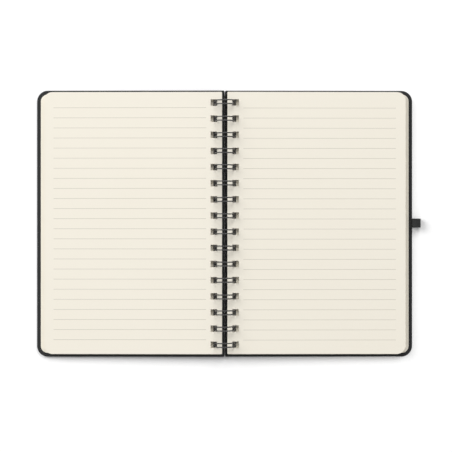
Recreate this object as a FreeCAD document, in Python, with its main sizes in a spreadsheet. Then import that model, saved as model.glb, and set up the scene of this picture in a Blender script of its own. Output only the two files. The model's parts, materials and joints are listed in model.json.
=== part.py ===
import FreeCAD, Part
import os
import Sketcher

os.makedirs("parts", exist_ok=True)
doc = FreeCAD.newDocument("Notebook")

# An A5 ring notebook lying open: two hard covers, two page blocks, the twin-loop
# wire that carries them and an elastic pen loop. Millimetres, +Z up, the table at
# z = 0, the wire along Y. Each cover and its pages are drawn from the wire's own
# axis: X outward from it, Z away from the table.
SIZES = {
    # hard covers
    "cover_height": "210",
    "cover_width": "148",
    "cover_thickness": "2",
    "cover_corner": "8.5",
    "cover_spine_corner": "1",
    "cover_from_axis": "0.25",
    # paper lining inside each cover, the turned-in cloth showing round it
    "lining_margin": "3",
    "lining_thickness": "0.2",
    # page blocks, one on each side, set back from the cover's edges
    "pages_head_setback": "1.8",
    "pages_fore_setback": "5.75",
    "pages_thickness": "3.55",
    "pages_corner": "6.8",
    "pages_spine_corner": "0.6",
    "pages_below_axis": "0.05",
    "pages_up": "0.5",
    # punched holes, the same in covers and pages
    "hole_length": "5.1",
    "hole_width": "5.1",
    "hole_margin": "3.85",
    "hole_play": "0.15",
    # twin-loop wire
    "wire_thickness": "1",
    "loop_bore": "14.3",
    "loop_pitch": "12.7",
    "leg_spacing": "3",
    "root_radius": "0.85",
    "loop_opening": "30",
    "bend_cut": "=2 - sqrt(2)",
    # elastic pen loop on the back cover's fore-edge
    "band_thickness": "0.8",
    "band_width": "7.1",
    "band_reach": "6.4",
    "band_diameter": "6.6",
    "band_tail": "6",
    "band_lift": "0.2",
    "band_up": "0.5",
    # what follows from them
    "pages_height": "=cover_height - 2 * pages_head_setback",
    "loop_count": "=floor(pages_height / loop_pitch)",
    "loop_radius": "=(loop_bore + wire_thickness) / 2",
    "axis_height": "=loop_radius + wire_thickness / 2",
    "row_length": "=(loop_count - 1) * loop_pitch",
    "inside_reach": "=loop_radius - wire_thickness / 2 - hole_play",
    "pages_drop": "=pages_below_axis + pages_thickness",
    "lining_drop": "=pages_drop + lining_thickness",
    "cover_drop": "=lining_drop + cover_thickness",
    "cover_hole_start": "=sqrt(inside_reach ^ 2 - cover_drop ^ 2)",
    "pages_hole_start": "=sqrt(inside_reach ^ 2 - pages_drop ^ 2)",
    "pages_from_axis": "=pages_hole_start - hole_margin",
    "fore_edge": "=cover_from_axis + cover_width",
    "pages_fore_edge": "=fore_edge - pages_fore_setback",
    "lie": "=asin(axis_height / sqrt(fore_edge ^ 2 + cover_drop ^ 2)) - atan(cover_drop / fore_edge)",
    "axis_x": "=-band_reach / 2",
    "band_middle_x": "=fore_edge + band_reach - band_diameter / 2",
    "band_middle_z": "=band_lift + band_diameter / 2 - cover_drop",
}

sheet = doc.addObject("Spreadsheet::Sheet", "Sizes")
for row, (name, value) in enumerate(SIZES.items(), 1):
    sheet.set(f"A{row}", name)
    sheet.setAlias(f"B{row}", name)
for row, value in enumerate(SIZES.values(), 1):
    sheet.set(f"B{row}", value)
doc.recompute()


def new_body(label, placement):
    body = doc.addObject("PartDesign::Body", label)
    body.Label = label
    body.setExpression("Placement", placement)
    return body


def own_datum(body, role):
    """One of the body's own origin planes or axes."""
    return next(f for f in body.Origin.OriginFeatures if f.Role == role)


def new_sketch(body, name, plane, offset=None):
    """A sketch on one of the body's own planes, moved off it by an expression."""
    sketch = body.newObject("Sketcher::SketchObject", name)
    sketch.AttachmentSupport = [(own_datum(body, plane), "")]
    sketch.MapMode = "FlatFace"
    if offset:
        sketch.setExpression("AttachmentOffset", offset)
    return sketch


def bind(sketch, kind, where, name, expression):
    """One dimension of a sketch, following the sheet."""
    start = sheet_value(expression)
    index = sketch.addConstraint(Sketcher.Constraint(kind, *where, start))
    sketch.renameConstraint(index, name)
    sketch.setExpression(f"Constraints.{name}", expression)


def sheet_value(expression):
    """What an expression of the sheet's sizes comes to now."""
    return float(sheet.evalExpression(expression))


def draw_outline(sketch, left, right, low, high, left_radius=None, right_radius=None, tag=""):
    """A rectangle, square-cornered or with a radius on its left and right corners."""
    x0, x1, y0, y1 = (sheet_value(e) for e in (left, right, low, high))
    corners = [(x0, y0), (x1, y0), (x1, y1), (x0, y1)]
    point = [FreeCAD.Vector(x, y, 0) for x, y in corners]
    radii = [left_radius, right_radius, right_radius, left_radius]
    size = [sheet_value(r) if r else 0.0 for r in radii]
    sides = []
    for i in range(4):
        a, b = point[i], point[(i + 1) % 4]
        along = (b - a).normalize()
        start, end = a + along * size[i], b - along * size[(i + 1) % 4]
        sides.append(sketch.addGeometry(Part.LineSegment(start, end), False))
    for i in range(4):
        before, after = sides[i - 1], sides[i]
        if not radii[i]:
            sketch.addConstraint(Sketcher.Constraint("Coincident", before, 2, after, 1))
            continue
        away = (point[i - 1] - point[i]).normalize()
        ahead = (point[(i + 1) % 4] - point[i]).normalize()
        centre = point[i] + (away + ahead) * size[i]
        middle = centre - (away + ahead).normalize() * size[i]
        bend = Part.Arc(point[i] + away * size[i], middle, point[i] + ahead * size[i])
        arc = sketch.addGeometry(bend, False)
        sketch.addConstraint(Sketcher.Constraint("Tangent", before, 2, arc, 1))
        sketch.addConstraint(Sketcher.Constraint("Tangent", arc, 2, after, 1))
        bind(sketch, "Radius", (arc,), f"radius{tag}{i}", radii[i])
    for i, kind in enumerate(["Horizontal", "Vertical", "Horizontal", "Vertical"]):
        sketch.addConstraint(Sketcher.Constraint(kind, sides[i]))
    bind(sketch, "DistanceX", (-1, 1, sides[3], 1), f"left{tag}", left)
    bind(sketch, "DistanceX", (-1, 1, sides[1], 1), f"right{tag}", right)
    bind(sketch, "DistanceY", (-1, 1, sides[0], 1), f"low{tag}", low)
    bind(sketch, "DistanceY", (-1, 1, sides[2], 1), f"high{tag}", high)


def draw_path(sketch, corners):
    """A closed outline of straight sides, each corner at its own two expressions."""
    point = [FreeCAD.Vector(sheet_value(x), sheet_value(y), 0) for x, y in corners]
    sides = [sketch.addGeometry(Part.LineSegment(a, b), False)
             for a, b in zip(point, point[1:] + point[:1])]
    for i, (x, y) in enumerate(corners):
        sketch.addConstraint(Sketcher.Constraint("Coincident", sides[i - 1], 2, sides[i], 1))
        bind(sketch, "DistanceX", (-1, 1, sides[i], 1), f"x{i}", x)
        bind(sketch, "DistanceY", (-1, 1, sides[i], 1), f"y{i}", y)


def draw_circle(sketch, x, y, diameter):
    centre = FreeCAD.Vector(sheet_value(x), sheet_value(y), 0)
    up = FreeCAD.Vector(0, 0, 1)
    ring = sketch.addGeometry(Part.Circle(centre, up, sheet_value(diameter) / 2), False)
    bind(sketch, "DistanceX", (-1, 1, ring, 3), "middle_x", x)
    bind(sketch, "DistanceY", (-1, 1, ring, 3), "middle_y", y)
    bind(sketch, "Diameter", (ring,), "diameter", diameter)


def straight_feature(body, kind, name, sketch, length, midplane):
    feature = body.newObject(f"PartDesign::{kind}", name)
    feature.Profile = sketch
    feature.setExpression("Length", length)
    feature.SideType = "Symmetric" if midplane else "One side"
    sketch.Visibility = False
    body.Tip = feature
    return feature


def pad(body, name, sketch, length, midplane=False):
    return straight_feature(body, "Pad", name, sketch, length, midplane)


def pocket(body, name, sketch, length, midplane=False):
    return straight_feature(body, "Pocket", name, sketch, length, midplane)


def place(x, y, z, yaw="0", pitch="0"):
    return f"placement(vector({x}; {y}; {z}); rotation({yaw}; {pitch}; 0))"


def stand_off(height):
    """A sketch plane raised by an expression."""
    return place("0", "0", height)


# The wire, drawn at its first loop and repeated along Y. Each loop is two legs that
# leave the base line in tight root bends, go round side by side and close in a tip.
wire = new_body("wire_binding", place(
    "Sizes.axis_x", "-Sizes.row_length / 2", "Sizes.axis_height"))

leg_inside = "Sizes.leg_spacing / 2 - Sizes.wire_thickness / 2"
leg_outside = "Sizes.leg_spacing / 2 + Sizes.wire_thickness / 2"

leg_sketch = new_sketch(wire, "LegSection", "YZ_Plane")
draw_outline(leg_sketch, leg_inside, leg_outside,
             "-Sizes.loop_radius - Sizes.wire_thickness / 2",
             "-Sizes.loop_radius + Sizes.wire_thickness / 2")
leg = wire.newObject("PartDesign::Revolution", "Leg")
leg.Profile = leg_sketch
leg.ReferenceAxis = (leg_sketch, ["H_Axis"])
leg.setExpression("Angle", "360 - Sizes.loop_opening")
leg.Reversed = True
wire.Tip = leg

# the root bend and its half of the base line, flat on the table
root_sketch = new_sketch(wire, "RootShape", "XY_Plane", stand_off(
    "-Sizes.loop_radius - Sizes.wire_thickness / 2"))
near = "-(Sizes.root_radius - Sizes.wire_thickness / 2)"
far = "-(Sizes.root_radius + Sizes.wire_thickness / 2)"
bend_in = "Sizes.bend_cut * (Sizes.root_radius - Sizes.wire_thickness / 2)"
bend_out = "Sizes.bend_cut * (Sizes.root_radius + Sizes.wire_thickness / 2)"
draw_path(root_sketch, [
    ("0", leg_inside),
    (f"{far} + {bend_out}", leg_inside),
    (far, f"{leg_inside} + {bend_out}"),
    (far, "Sizes.loop_pitch / 2"),
    (near, "Sizes.loop_pitch / 2"),
    (near, f"{leg_outside} - {near} - {bend_in}"),
    (f"{near} + {bend_in}", leg_outside),
    ("0", leg_outside),
])
root = pad(wire, "RootAndBase", root_sketch, "Sizes.wire_thickness")

# half of the tip, in the plane that touches the loop where its legs end
tip_sketch = new_sketch(wire, "TipShape", "XY_Plane", place(
    "-(Sizes.loop_radius + Sizes.wire_thickness / 2) * sin(Sizes.loop_opening)", "0",
    "-(Sizes.loop_radius + Sizes.wire_thickness / 2) * cos(Sizes.loop_opening)",
    pitch="Sizes.loop_opening"))
draw_path(tip_sketch, [
    ("0", leg_outside),
    (f"(1 - Sizes.bend_cut) * ({leg_outside})", leg_outside),
    (leg_outside, f"(1 - Sizes.bend_cut) * ({leg_outside})"),
    (leg_outside, "0"),
    (leg_inside, "0"),
    (leg_inside, f"(1 - Sizes.bend_cut) * ({leg_inside})"),
    (f"(1 - Sizes.bend_cut) * ({leg_inside})", leg_inside),
    ("0", leg_inside),
])
tip = pad(wire, "Tip", tip_sketch, "Sizes.wire_thickness")

loops = wire.newObject("PartDesign::MultiTransform", "Loops")
loops.Originals = [leg, root, tip]
mirror = wire.newObject("PartDesign::Mirrored", "OtherLeg")
mirror.MirrorPlane = (own_datum(wire, "XZ_Plane"), [""])
row = wire.newObject("PartDesign::LinearPattern", "Row")
row.Direction = (own_datum(wire, "Y_Axis"), [""])
row.setExpression("Length", "Sizes.row_length")
row.setExpression("Occurrences", "Sizes.loop_count")
loops.Transformations = [mirror, row]
wire.Tip = loops


def punch_holes(body, start, middle):
    """The row of square holes for the loops, right through a cover or a page block."""
    sketch = new_sketch(body, "HoleShape", "XY_Plane")
    first = f"{middle} - Sizes.row_length / 2"
    draw_outline(sketch, start, f"{start} + Sizes.hole_length",
                 f"{first} - Sizes.hole_width / 2", f"{first} + Sizes.hole_width / 2")
    hole = pocket(body, "Hole", sketch, "Sizes.cover_drop")
    holes = body.newObject("PartDesign::LinearPattern", "Holes")
    holes.Originals = [hole]
    holes.Direction = (own_datum(body, "Y_Axis"), [""])
    holes.setExpression("Length", "Sizes.row_length")
    holes.setExpression("Occurrences", "Sizes.loop_count")
    body.Tip = holes


def hard_cover(label, yaw):
    """One cover board with its lining, the fore-edge on the table and the spine edge under
    the wire's axis."""
    cover = new_body(label, place("Sizes.axis_x", "0", "Sizes.axis_height", yaw, "Sizes.lie"))
    outline = new_sketch(cover, "CoverShape", "XY_Plane", stand_off("-Sizes.cover_drop"))
    draw_outline(outline, "Sizes.cover_from_axis", "Sizes.fore_edge",
                 "-Sizes.cover_height / 2", "Sizes.cover_height / 2",
                 "Sizes.cover_spine_corner", "Sizes.cover_corner")
    pad(cover, "Board", outline, "Sizes.cover_thickness")
    lining = new_sketch(cover, "LiningShape", "XY_Plane", stand_off("-Sizes.lining_drop"))
    draw_outline(lining, "Sizes.cover_from_axis + Sizes.lining_margin",
                 "Sizes.fore_edge - Sizes.lining_margin",
                 "-(Sizes.cover_height / 2 - Sizes.lining_margin)",
                 "Sizes.cover_height / 2 - Sizes.lining_margin",
                 right_radius="Sizes.cover_corner - Sizes.lining_margin")
    pad(cover, "Lining", lining, "Sizes.lining_thickness")
    punch_holes(cover, "Sizes.cover_hole_start", "0")
    return cover


def page_block(label, yaw, holes_middle):
    """All the leaves on one side, lying on the cover's lining a little nearer its head."""
    pages = new_body(label, place(
        "Sizes.axis_x", "Sizes.pages_up", "Sizes.axis_height", yaw, "Sizes.lie"))
    leaf = new_sketch(pages, "LeafShape", "XY_Plane", stand_off("-Sizes.pages_drop"))
    draw_outline(leaf, "Sizes.pages_from_axis", "Sizes.pages_fore_edge",
                 "-Sizes.pages_height / 2", "Sizes.pages_height / 2",
                 "Sizes.pages_spine_corner", "Sizes.pages_corner")
    pad(pages, "Leaves", leaf, "Sizes.pages_thickness")
    punch_holes(pages, "Sizes.pages_hole_start", holes_middle)
    return pages


def band_section(body, name):
    """The strip in which the band's tail lies, inside the cover and out to the loop."""
    sketch = new_sketch(body, name, "XZ_Plane", stand_off("-Sizes.band_up"))
    draw_outline(sketch, "Sizes.fore_edge - Sizes.band_tail", "Sizes.band_middle_x",
                 "Sizes.band_lift - Sizes.cover_drop",
                 "Sizes.band_lift - Sizes.cover_drop + 2 * Sizes.band_thickness")
    return sketch


front_cover = hard_cover("front_cover", "180")
back_cover = hard_cover("back_cover", "0")
slot_sketch = band_section(back_cover, "SlotShape")
pocket(back_cover, "BandSlot", slot_sketch, "Sizes.band_width", midplane=True)

front_pages = page_block("front_pages", "180", "Sizes.pages_up")
back_pages = page_block("back_pages", "0", "-Sizes.pages_up")

# The pen loop: a doubled elastic band, its two ends in the slot of the back cover.
pen_loop = new_body("pen_loop", place(
    "Sizes.axis_x", "0", "Sizes.axis_height", pitch="Sizes.lie"))
outer_sketch = new_sketch(pen_loop, "LoopOutside", "XZ_Plane", stand_off("-Sizes.band_up"))
draw_circle(outer_sketch, "Sizes.band_middle_x", "Sizes.band_middle_z", "Sizes.band_diameter")
pad(pen_loop, "Loop", outer_sketch, "Sizes.band_width", midplane=True)
pad(pen_loop, "Tail", band_section(pen_loop, "TailShape"), "Sizes.band_width", midplane=True)
inner_sketch = new_sketch(pen_loop, "LoopInside", "XZ_Plane", stand_off("-Sizes.band_up"))
draw_circle(inner_sketch, "Sizes.band_middle_x", "Sizes.band_middle_z",
            "Sizes.band_diameter - 2 * Sizes.band_thickness")
pocket(pen_loop, "PenHole", inner_sketch, "Sizes.band_width", midplane=True)

doc.recompute()
for item in doc.Objects:
    if "Invalid" in item.State or "Error" in item.State:
        raise RuntimeError(f"{item.Name} didn't build")
for node in (front_cover, back_cover, front_pages, back_pages, wire, pen_loop):
    if node.Shape.isNull() or not node.Shape.isValid() or len(node.Shape.Solids) != 1:
        raise RuntimeError(f"{node.Label} isn't one valid solid")
    node.Shape.exportStep(f"parts/{node.Label}.step")
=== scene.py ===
import json
import math
import random

import bpy
from mathutils import Matrix, Vector


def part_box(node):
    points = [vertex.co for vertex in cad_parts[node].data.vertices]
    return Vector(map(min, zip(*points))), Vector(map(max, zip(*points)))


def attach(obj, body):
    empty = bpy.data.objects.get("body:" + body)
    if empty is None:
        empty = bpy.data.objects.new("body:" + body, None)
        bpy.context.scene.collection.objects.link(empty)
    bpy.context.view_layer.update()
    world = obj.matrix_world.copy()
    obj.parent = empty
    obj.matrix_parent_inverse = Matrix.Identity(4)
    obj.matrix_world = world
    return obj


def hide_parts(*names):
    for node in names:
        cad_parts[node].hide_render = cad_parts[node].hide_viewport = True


# A ring notebook lying open, seen from straight above. Metres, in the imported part's frame.
MM = 0.001
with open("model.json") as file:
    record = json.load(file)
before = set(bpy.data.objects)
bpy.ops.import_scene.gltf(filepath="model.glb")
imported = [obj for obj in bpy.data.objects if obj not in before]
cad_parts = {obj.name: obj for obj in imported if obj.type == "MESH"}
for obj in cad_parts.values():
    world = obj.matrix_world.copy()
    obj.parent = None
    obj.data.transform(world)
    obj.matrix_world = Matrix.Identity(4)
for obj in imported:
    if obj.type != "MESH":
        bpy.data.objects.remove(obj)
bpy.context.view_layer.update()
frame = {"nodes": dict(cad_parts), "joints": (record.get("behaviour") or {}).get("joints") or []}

AXIS = Vector(frame["joints"][0]["pos_m"])
LEFT, RIGHT = -1, 1
LOOP_PITCH = 12.7 * MM
HOLE = 5.1 * MM

LEAVES = 36
LEAF_GAP = 0.2                 # share of a leaf's room that is air
LEAF_SLIP, LEAF_TURN = 0.05 * MM, math.radians(0.012)   # spreads of a leaf's place
LEAF_TRIM = 0.12 * MM                                   # most that a fore-edge lies further in
LEAF_INSET = 0.1 * MM
PAGE_CORNER, PAGE_SPINE_CORNER = 6.8 * MM, 0.6 * MM
COVER_CORNER, COVER_SPINE_CORNER = 8.5 * MM, 1.0 * MM
LINING_SPINE_CORNER = 0.3 * MM
BOARD_ROUNDING = 0.45 * MM

RULE_PITCH = 7.935 * MM
RULE_ROWS = 24
RULE_START, RULE_END = 14.65 * MM, 134.8 * MM
RULE_DROP = {LEFT: 0.0, RIGHT: 0.28 * MM}
RULE_WIDTH = 0.34 * MM

WIRE = 1.0 * MM
LEG_SPACING = 3.0 * MM
ROOT_RADIUS = 0.85 * MM
LOOP_OPENING = math.radians(30)
LOOP_SLIP, LOOP_LEAN = 0.2 * MM, 0.12 * MM   # within the play that the holes leave


def spans(points):
    """How far points reach: u0, u1, y0, y1."""
    return (min(p.x for p in points), max(p.x for p in points),
            min(p.y for p in points), max(p.y for p in points))


class Slab:
    """A cover or page block read from its CAD node: u outward from the wire's axis, y along it, v up."""

    def __init__(self, node, side):
        mesh = frame["nodes"][node].data
        upper = [p for p in mesh.polygons if p.normal.z > 0.9]
        up = max(upper, key=lambda p: p.area).normal.copy()
        along = Vector((0, side, 0))
        out = along.cross(up)
        self.side = side
        self.matrix = Matrix.Translation(AXIS) @ Matrix((out, along, up)).transposed().to_4x4()
        inverse = self.matrix.inverted()
        points = [inverse @ v.co for v in mesh.vertices]
        self.v0, self.v1 = min(p.z for p in points), max(p.z for p in points)
        lowest = [p for p in points if p.z < self.v0 + 0.01 * MM]
        highest = [p for p in points if p.z > self.v1 - 0.01 * MM]
        self.outline, self.lining = spans(lowest), spans(highest)
        self.ledge = min((inverse @ p.center).z for p in upper)
        self.hole = min(p.x for p in lowest if p.x > self.outline[0] + 2 * MM)


def loop_rows():
    """Where the loops stand along the wire, from its axis' own middle."""
    low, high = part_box("wire_binding")
    count = round((high[1] - low[1]) / LOOP_PITCH)
    return [(i - (count - 1) / 2) * LOOP_PITCH for i in range(count)]


ROWS = loop_rows()


def add(name, data, matrix=None):
    item = bpy.data.objects.new(name, data)
    bpy.context.scene.collection.objects.link(item)
    if matrix is not None:
        item.matrix_world = matrix
    return item


# Sheets: leaves, boards and linings, each a grid of cells with the punched ones left out.

def column_lines(u0, u1, hole, r0, r1):
    """Where the grid's columns stand: close together in the rounded corners."""
    quarter = math.pi / 2
    lines = [u0 + r0 * (1 - math.cos(quarter * i / 4)) for i in range(5)]
    lines += [hole, hole + HOLE, hole + 2 * HOLE, (u0 + u1) / 2]
    lines += [u1 - r1 + r1 * math.sin(quarter * i / 8) for i in range(9)]
    return lines


def corner_inset(u, u0, u1, r0, r1):
    """How far a rounded corner draws the sheet's end in at u."""
    if u < u0 + r0:
        return r0 - math.sqrt(max(0, r0 ** 2 - (u0 + r0 - u) ** 2))
    if u > u1 - r1:
        return r1 - math.sqrt(max(0, r1 ** 2 - (u - u1 + r1) ** 2))
    return 0


def add_sheet(verts, faces, outline, hole, corners, level, place=None):
    """One flat sheet at a level, added to a mesh's lists."""
    u0, u1, y0, y1 = outline
    columns = column_lines(u0, u1, hole, *corners)
    rows = [y0] + [y + half for y in ROWS for half in (-HOLE / 2, HOLE / 2)] + [y1]
    middle, reach = (y0 + y1) / 2, (y1 - y0) / 2
    first = len(verts)
    for u in columns:
        share = 1 - corner_inset(u, u0, u1, *corners) / reach
        for y in rows:
            point = Vector((u, middle + (y - middle) * share, level))
            verts.append(place @ point if place else point)
    punched = columns.index(hole)
    for i in range(len(columns) - 1):
        for j in range(len(rows) - 1):
            if i == punched and j % 2:
                continue
            a = first + i * len(rows) + j
            faces.append((a, a + len(rows), a + len(rows) + 1, a + 1))


def sheet_object(name, slab, verts, faces, thickness, material, rounding=0):
    """The sheets as one piece, given their thickness downward and, on boards, soft edges."""
    mesh = bpy.data.meshes.new(name)
    mesh.from_pydata(verts, [], faces)
    mesh.materials.append(material)
    piece = add(name, mesh, slab.matrix)
    solid = piece.modifiers.new("Thickness", "SOLIDIFY")
    solid.thickness, solid.offset = thickness, -1
    if rounding:
        mesh.polygons.foreach_set("use_smooth", [True] * len(mesh.polygons))
        soft = piece.modifiers.new("Edges", "BEVEL")
        soft.width, soft.segments, soft.harden_normals = rounding, 3, True
        soft.limit_method, soft.angle_limit = "ANGLE", math.radians(40)
    return piece


def page_block(name, node, side, material):
    """Every leaf of one side, no two of them quite in line."""
    slab = Slab(node, side)
    u0, u1, y0, y1 = slab.outline
    chance = random.Random(7 + side)
    room = (slab.v1 - slab.v0) / LEAVES
    verts, faces = [], []
    for i in range(LEAVES):
        turn = chance.gauss(0, LEAF_TURN)
        slip = Vector((0, chance.gauss(0, LEAF_SLIP), 0))
        place = Matrix.Translation(slip) @ Matrix.Rotation(turn, 4, "Z")
        outline = (u0, u1 - chance.uniform(0, LEAF_TRIM), y0 + LEAF_INSET, y1 - LEAF_INSET)
        add_sheet(verts, faces, outline, slab.hole, (PAGE_SPINE_CORNER, PAGE_CORNER),
                  slab.v0 + (i + 1) * room, place)
    block = sheet_object(name, slab, verts, faces, room * (1 - LEAF_GAP), material)
    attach(block, node)
    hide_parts(node)


def hard_cover(name, node, side, skin, lining):
    """The wrapped board, and the paper pasted on its inside."""
    slab = Slab(node, side)
    verts, faces = [], []
    corners = (COVER_SPINE_CORNER, COVER_CORNER)
    add_sheet(verts, faces, slab.outline, slab.hole, corners, slab.ledge)
    board = sheet_object(name, slab, verts, faces, slab.ledge - slab.v0, skin, BOARD_ROUNDING)
    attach(board, node)
    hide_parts(node)

    margin = slab.outline[1] - slab.lining[1]
    corners = (LINING_SPINE_CORNER, COVER_CORNER - margin)
    verts, faces = [], []
    add_sheet(verts, faces, slab.lining, slab.hole, corners, slab.v1)
    sheet = sheet_object(name + "_lining", slab, verts, faces, slab.v1 - slab.ledge, lining)
    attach(sheet, node)


# The wire: one unbroken line along base, root bends, legs and tips.

def arc(centre, across, ahead, start, end, steps):
    """Points round part of a circle, between two angles from its across direction."""
    turns = [start + (end - start) * i / steps for i in range(steps + 1)]
    return [centre + across * math.cos(t) + ahead * math.sin(t) for t in turns]


def wire_route():
    """The wire's middle line, its loops a little out of line as bent wire is."""
    low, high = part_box("wire_binding")
    radius = (high[2] - low[2] - WIRE) / 2
    along = Vector((0, 1, 0))
    down, sideways = Vector((0, 0, -radius)), Vector((radius, 0, 0))
    back = Vector((-ROOT_RADIUS, 0, 0))
    half = LEG_SPACING / 2
    end = 2 * math.pi - LOOP_OPENING
    leg = arc(Vector((0, 0, 0)), down, sideways, 0, end, 56)
    touch = down.normalized() * math.cos(end) + sideways.normalized() * math.sin(end)
    forward = touch.cross(along)
    if forward.x < 0:
        forward = -forward
    chance = random.Random(5)
    route = []
    for row in ROWS:
        place = Vector((AXIS.x, AXIS.y + row, AXIS.z))
        middle = place + along * chance.uniform(-LOOP_SLIP, LOOP_SLIP)
        lean = chance.uniform(-LOOP_LEAN, LOOP_LEAN) / radius
        first = middle + down - along * (half + ROOT_RADIUS)
        last = middle + down + along * (half + ROOT_RADIUS)
        loop = arc(first, back, along * ROOT_RADIUS, 0, math.pi / 2, 5)
        loop += [middle - along * half + p for p in leg[1:]]
        loop += arc(middle + touch * radius, -along * half, forward * half, 0, math.pi, 12)[1:]
        loop += [middle + along * half + p for p in reversed(leg[:-1])]
        loop += arc(last, -along * ROOT_RADIUS, back, 0, math.pi / 2, 5)[1:]
        route.append(place + down + back - along * (LOOP_PITCH / 2))
        route += [p + along * lean * (p.x - AXIS.x) for p in loop]
        route.append(place + down + back + along * (LOOP_PITCH / 2))
    return route


def wire_binding(material):
    curve = bpy.data.curves.new("ring_wire", "CURVE")
    curve.dimensions = "3D"
    route = wire_route()
    line = curve.splines.new("POLY")
    line.points.add(len(route) - 1)
    for point, spot in zip(line.points, route):
        point.co = (*spot, 1)
    curve.bevel_depth, curve.bevel_resolution, curve.use_fill_caps = WIRE / 2, 3, True
    curve.materials.append(material)
    wire = add("ring_wire", curve)
    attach(wire, "binding")
    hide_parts("wire_binding")


# The elastic pen loop: a ribbed band bent into a ring, with its tail in the cover.

BAND, BAND_WIDTH = 0.8 * MM, 7.1 * MM
BAND_RIBS = 9
SELVEDGE = 0.35 * MM
TAIL_END = 2.2 * MM               # how far short of the ring's middle the tail stops


def ribbed_section(width, thickness):
    """Across the band: (y, height) round its outline, with ribs on both faces."""
    steps = BAND_RIBS * 8
    edge = []
    for i in range(steps + 1):
        y = -width / 2 + width * i / steps
        rib = abs(math.sin(math.pi * BAND_RIBS * i / steps)) ** 0.7
        past = max(0, abs(y) - width / 2 + SELVEDGE) / SELVEDGE
        selvedge = math.sqrt(max(0, 1 - past ** 2))
        edge.append((y, thickness / 2 * (0.35 + 0.65 * selvedge) * (0.86 + 0.14 * rib)))
    return edge + [(y, -h) for y, h in reversed(edge)]


def sweep(verts, faces, section, stations, closed):
    """A section carried along (centre, outward) stations, y staying along the wire."""
    first = len(verts)
    count = len(section)
    for centre, outward in stations:
        verts += [centre + outward * h + Vector((0, y, 0)) for y, h in section]
    joins = len(stations) if closed else len(stations) - 1
    for i in range(joins):
        a, b = first + i * count, first + (i + 1) % len(stations) * count
        faces += [(a + j, a + (j + 1) % count, b + (j + 1) % count, b + j) for j in range(count)]
    if not closed:
        faces.append([first + j for j in reversed(range(count))])
        faces.append([first + (len(stations) - 1) * count + j for j in range(count)])


def pen_loop(material):
    cover = Slab("back_cover", RIGHT)
    inverse = cover.matrix.inverted()
    points = [inverse @ v.co for v in frame["nodes"]["pen_loop"].data.vertices]
    u0, u1, y0, y1 = spans(points)
    v0, v1 = min(p.z for p in points), max(p.z for p in points)
    outside = (v1 - v0) / 2
    centre = Vector((u1 - outside, (y0 + y1) / 2, v0 + outside))
    verts, faces = [], []
    ring = []
    for i in range(64):
        t = 2 * math.pi * i / 64
        outward = Vector((math.cos(t), 0, math.sin(t)))
        ring.append((centre + outward * (outside - BAND / 2), outward))
    sweep(verts, faces, ribbed_section(y1 - y0, BAND), ring, True)
    reach = centre.x - TAIL_END - u0
    tail = [(Vector((u0 + reach * i / 12, centre.y, v0 + BAND)), Vector((0, 0, 1))) for i in range(13)]
    sweep(verts, faces, ribbed_section(y1 - y0, 2 * BAND), tail, False)
    mesh = bpy.data.meshes.new("elastic_loop")
    mesh.from_pydata(verts, [], faces)
    mesh.polygons.foreach_set("use_smooth", [True] * len(mesh.polygons))
    mesh.materials.append(material)
    band = add("elastic_loop", mesh, cover.matrix)
    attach(band, "back_cover")
    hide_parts("pen_loop")


# Materials

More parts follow.
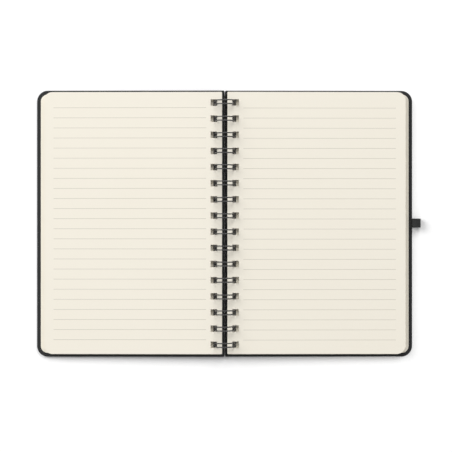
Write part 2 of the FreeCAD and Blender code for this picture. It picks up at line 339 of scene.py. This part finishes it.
class Nodes:
    """A material's node tree, with short ways to add and link nodes."""

    def __init__(self, name, color, roughness, **inputs):
        self.material = bpy.data.materials.new(name)
        self.material.use_nodes = True
        self.tree = self.material.node_tree
        self.shader = self.tree.nodes["Principled BSDF"]
        self.shader.inputs["Base Color"].default_value = (*color, 1)
        self.shader.inputs["Roughness"].default_value = roughness
        for key, value in inputs.items():
            self.shader.inputs[key.replace("_", " ")].default_value = value

    def put(self, socket, value):
        if isinstance(value, bpy.types.NodeSocket):
            self.tree.links.new(value, socket)
        else:
            socket.default_value = value

    def math(self, operation, *values, clamp=False):
        node = self.tree.nodes.new("ShaderNodeMath")
        node.operation, node.use_clamp = operation, clamp
        for socket, value in zip(node.inputs, values):
            self.put(socket, value)
        return node.outputs[0]

    def coords(self, output="Object"):
        node = self.tree.nodes.new("ShaderNodeTexCoord")
        return node.outputs[output]

    def axes(self, vector):
        node = self.tree.nodes.new("ShaderNodeSeparateXYZ")
        self.put(node.inputs[0], vector)
        return node.outputs

    def stretched(self, vector, scale):
        node = self.tree.nodes.new("ShaderNodeMapping")
        self.put(node.inputs["Vector"], vector)
        node.inputs["Scale"].default_value = scale
        return node.outputs[0]

    def noise(self, vector, scale, detail=4, roughness=0.5):
        node = self.tree.nodes.new("ShaderNodeTexNoise")
        self.put(node.inputs["Vector"], vector)
        node.inputs["Scale"].default_value = scale
        node.inputs["Detail"].default_value = detail
        node.inputs["Roughness"].default_value = roughness
        return node.outputs[0]

    def cells(self, vector, scale):
        node = self.tree.nodes.new("ShaderNodeTexVoronoi")
        node.feature = "F1"
        self.put(node.inputs["Vector"], vector)
        node.inputs["Scale"].default_value = scale
        return node.outputs["Distance"]

    def blend(self, factor, low, high):
        node = self.tree.nodes.new("ShaderNodeMix")
        node.data_type = "RGBA"
        self.put(node.inputs[0], factor)
        for socket, value in zip(node.inputs[6:8], (low, high)):
            self.put(socket, value if isinstance(value, bpy.types.NodeSocket) else (*value, 1))
        return node.outputs[2]

    def spread(self, value, low, high):
        """A 0 to 1 value mapped to a range."""
        node = self.tree.nodes.new("ShaderNodeMapRange")
        self.put(node.inputs[0], value)
        node.inputs[3].default_value, node.inputs[4].default_value = low, high
        return node.outputs[0]

    def ramp(self, value, start, end):
        """0 up to the start, 1 from the end on, even between."""
        node = self.tree.nodes.new("ShaderNodeMapRange")
        self.put(node.inputs[0], value)
        node.inputs[1].default_value, node.inputs[2].default_value = start, end
        return node.outputs[0]

    def bump(self, height, distance, strength=1.0):
        node = self.tree.nodes.new("ShaderNodeBump")
        self.put(node.inputs["Height"], height)
        node.inputs["Distance"].default_value = distance
        node.inputs["Strength"].default_value = strength
        self.put(self.shader.inputs["Normal"], node.outputs[0])

    def color(self, value):
        self.put(self.shader.inputs["Base Color"], value)

    def rough(self, value):
        self.put(self.shader.inputs["Roughness"], value)


PAPER = (0.820, 0.780, 0.686)
PAPER_WARM = (0.806, 0.762, 0.664)
RULE_INK = (0.50, 0.47, 0.405)


def ruled_paper(side):
    """Cream writing paper, ruled on both faces and bare on its cut edges."""
    n = Nodes("ruled_paper_left" if side == LEFT else "ruled_paper_right", PAPER, 0.85,
              Specular_IOR_Level=0.25)
    place = n.coords()
    x, y, _ = n.axes(place)
    flat = n.math("GREATER_THAN", n.math("ABSOLUTE", n.axes(n.coords("Normal"))[2]), 0.7)
    half_span = RULE_PITCH * (RULE_ROWS - 1) / 2
    from_middle = n.math("ADD", y, side * RULE_DROP[side])
    phase = n.math("WRAP", n.math("ADD", from_middle, half_span), RULE_PITCH / 2, -RULE_PITCH / 2)
    on_line = n.math("LESS_THAN", n.math("ABSOLUTE", phase), RULE_WIDTH / 2)
    in_rows = n.math("LESS_THAN", n.math("ABSOLUTE", from_middle), half_span + RULE_PITCH / 2)
    in_columns = n.math("MULTIPLY", n.math("GREATER_THAN", x, RULE_START),
                        n.math("LESS_THAN", x, RULE_END))
    ruled = n.math("MULTIPLY", n.math("MULTIPLY", on_line, in_rows),
                   n.math("MULTIPLY", in_columns, flat))
    fibre = n.noise(n.stretched(place, (1, 2.2, 1)), 900, 6, 0.62)
    cloud = n.noise(place, 18, 2)
    sheet = n.blend(n.math("MULTIPLY_ADD", cloud, 0.7, n.math("MULTIPLY", fibre, 0.3)),
                    PAPER, PAPER_WARM)
    n.color(n.blend(n.math("MULTIPLY", ruled, n.spread(fibre, 0.75, 1.0)), sheet, RULE_INK))
    n.rough(n.spread(fibre, 0.78, 0.92))
    n.bump(fibre, 0.02 * MM, 0.6)
    return n.material


def grained_skin():
    """Matte black imitation leather: fine pebbles with a little wear in the tone."""
    n = Nodes("grained_skin", (0.012, 0.0125, 0.013), 0.7, Specular_IOR_Level=0.3)
    place = n.coords()
    pebbles = n.cells(place, 1500)
    creases = n.noise(place, 500, 5, 0.6)
    worn = n.noise(place, 40, 3)
    n.color(n.blend(n.math("MULTIPLY", worn, creases), (0.009, 0.0095, 0.010), (0.018, 0.0185, 0.019)))
    n.rough(n.spread(creases, 0.6, 0.8))
    n.bump(n.math("MULTIPLY_ADD", creases, 0.5, pebbles), 0.07 * MM, 0.7)
    return n.material


def lining_paper():
    """Cream endpaper, plain, with its fibres and a faint tone from the glue beneath."""
    n = Nodes("lining_paper", PAPER, 0.85, Specular_IOR_Level=0.25)
    place = n.coords()
    fibre = n.noise(n.stretched(place, (1, 2.2, 1)), 900, 6, 0.62)
    cloud = n.noise(place, 60, 3)
    n.color(n.blend(n.math("MULTIPLY_ADD", cloud, 0.7, n.math("MULTIPLY", fibre, 0.3)),
                    PAPER, PAPER_WARM))
    n.rough(n.spread(fibre, 0.78, 0.92))
    n.bump(fibre, 0.03 * MM, 0.6)
    return n.material


def coated_wire():
    """Black nylon over steel: smooth, with a soft gloss and small scuffs."""
    n = Nodes("coated_wire", (0.020, 0.020, 0.021), 0.32, Coat_Weight=0.3, Coat_Roughness=0.2)
    place = n.coords()
    scuffs = n.noise(n.stretched(place, (1, 1, 4)), 260, 5, 0.7)
    n.color(n.blend(scuffs, (0.014, 0.014, 0.015), (0.030, 0.029, 0.028)))
    n.rough(n.spread(scuffs, 0.24, 0.44))
    n.bump(n.noise(place, 1800, 3), 0.01 * MM, 0.4)
    return n.material


def woven_elastic():
    """Black elastic: ribs along the band, crossed by fine threads."""
    n = Nodes("woven_elastic", (0.013, 0.013, 0.013), 0.85, Specular_IOR_Level=0.3, Sheen_Weight=0.06)
    place = n.coords()
    x, y, z = n.axes(place)
    rib = n.math("ABSOLUTE", n.math("SINE", n.math("MULTIPLY", y, math.pi * BAND_RIBS * 2 / BAND_WIDTH)))
    run = n.math("ADD", x, z)
    thread = n.math("ABSOLUTE", n.math("SINE", n.math("MULTIPLY", run, math.pi / (0.28 * MM))))
    fuzz = n.noise(place, 2500, 4, 0.7)
    weave = n.math("MULTIPLY_ADD", thread, 0.45, n.math("MULTIPLY_ADD", fuzz, 0.3, rib))
    shade = n.math("MULTIPLY", weave, 0.6, clamp=True)
    n.color(n.blend(shade, (0.007, 0.007, 0.007), (0.019, 0.019, 0.019)))
    n.rough(n.spread(fuzz, 0.7, 0.92))
    n.bump(weave, 0.06 * MM, 0.8)
    return n.material


# Floor, light and camera

FLOOR_REACH = 6.0
FLOOR_LIT, FLOOR_WHITE = 0.3, 0.8      # how far out the floor shows all its shading, and none
FLOOR_CLEARANCE = 0.02 * MM
CAMERA_PLACE = (AXIS.x + 1.0 * MM, -1.82 * MM, 1.3)

def camera_ray(tree):
    """1 where the camera looks straight, or through gloss or glass, at the surface."""
    path = tree.nodes.new("ShaderNodeLightPath")
    seen = path.outputs["Is Camera Ray"]
    for name in ("Is Glossy Ray", "Is Transmission Ray"):
        most = tree.nodes.new("ShaderNodeMath")
        most.operation = "MAXIMUM"
        tree.links.new(seen, most.inputs[0])
        tree.links.new(path.outputs[name], most.inputs[1])
        seen = most.outputs[0]
    return seen


def plain_floor():
    """A pale floor that looks white where nothing shades it, and white as the backdrop further off."""
    mesh = bpy.data.meshes.new("floor")
    far = FLOOR_REACH
    mesh.from_pydata([(-far, -far, 0), (far, -far, 0), (far, far, 0), (-far, far, 0)], [], [(0, 1, 2, 3)])
    n = Nodes("floor_paint", (0.8, 0.8, 0.8), 1.0, Specular_IOR_Level=0.0,
              Emission_Color=(1, 1, 1, 1))
    seen = camera_ray(n.tree)
    x, y, _ = n.axes(n.coords())
    distance = n.math("POWER", n.math("ADD", n.math("MULTIPLY", x, x), n.math("MULTIPLY", y, y)), 0.5)
    backdrop = n.math("MULTIPLY", seen, n.ramp(distance, FLOOR_LIT, FLOOR_WHITE))
    n.color(n.blend(backdrop, n.blend(seen, (0.80, 0.80, 0.80), (1.0, 1.0, 1.0)), (0, 0, 0)))
    n.put(n.shader.inputs["Emission Strength"], backdrop)
    mesh.materials.append(n.material)
    add("floor", mesh, Matrix.Translation((0, 0, -FLOOR_CLEARANCE)))


def soft_light(name, place, size, power):
    lamp = bpy.data.lights.new(name, "AREA")
    lamp.shape, lamp.size, lamp.energy = "DISK", size, power
    item = add(name, lamp, Matrix.Translation(place))
    item.rotation_mode = "QUATERNION"
    item.rotation_quaternion = (Vector((0, 0, 0)) - Vector(place)).to_track_quat("-Z", "Y")


def world_light(strength):
    world = bpy.data.worlds.new("daylight")
    bpy.context.scene.world = world
    world.use_nodes = True
    tree = world.node_tree
    back = tree.nodes["Background"]
    level = tree.nodes.new("ShaderNodeMapRange")
    tree.links.new(camera_ray(tree), level.inputs[0])
    level.inputs[3].default_value, level.inputs[4].default_value = strength, 1.0
    tree.links.new(level.outputs[0], back.inputs["Strength"])
    back.inputs["Color"].default_value = (1, 1, 1, 1)


def overhead_camera():
    lens = bpy.data.cameras.new("camera")
    lens.lens, lens.sensor_width = 130.9, 36
    item = add("camera", lens, Matrix.Translation(CAMERA_PLACE))
    bpy.context.scene.camera = item


skin, lining = grained_skin(), lining_paper()
hard_cover("cover_board_front", "front_cover", LEFT, skin, lining)
hard_cover("cover_board_back", "back_cover", RIGHT, skin, lining)
page_block("leaves_front", "front_pages", LEFT, ruled_paper(LEFT))
page_block("leaves_back", "back_pages", RIGHT, ruled_paper(RIGHT))
wire_binding(coated_wire())
pen_loop(woven_elastic())

plain_floor()
soft_light("window", (-3.69, 1.96, 2.93), 3.4, 190)
soft_light("fill", (0.8, 3.3, 3.4), 2.6, 94)
world_light(0.43)
overhead_camera()
bpy.context.scene.view_settings.view_transform = "Standard"
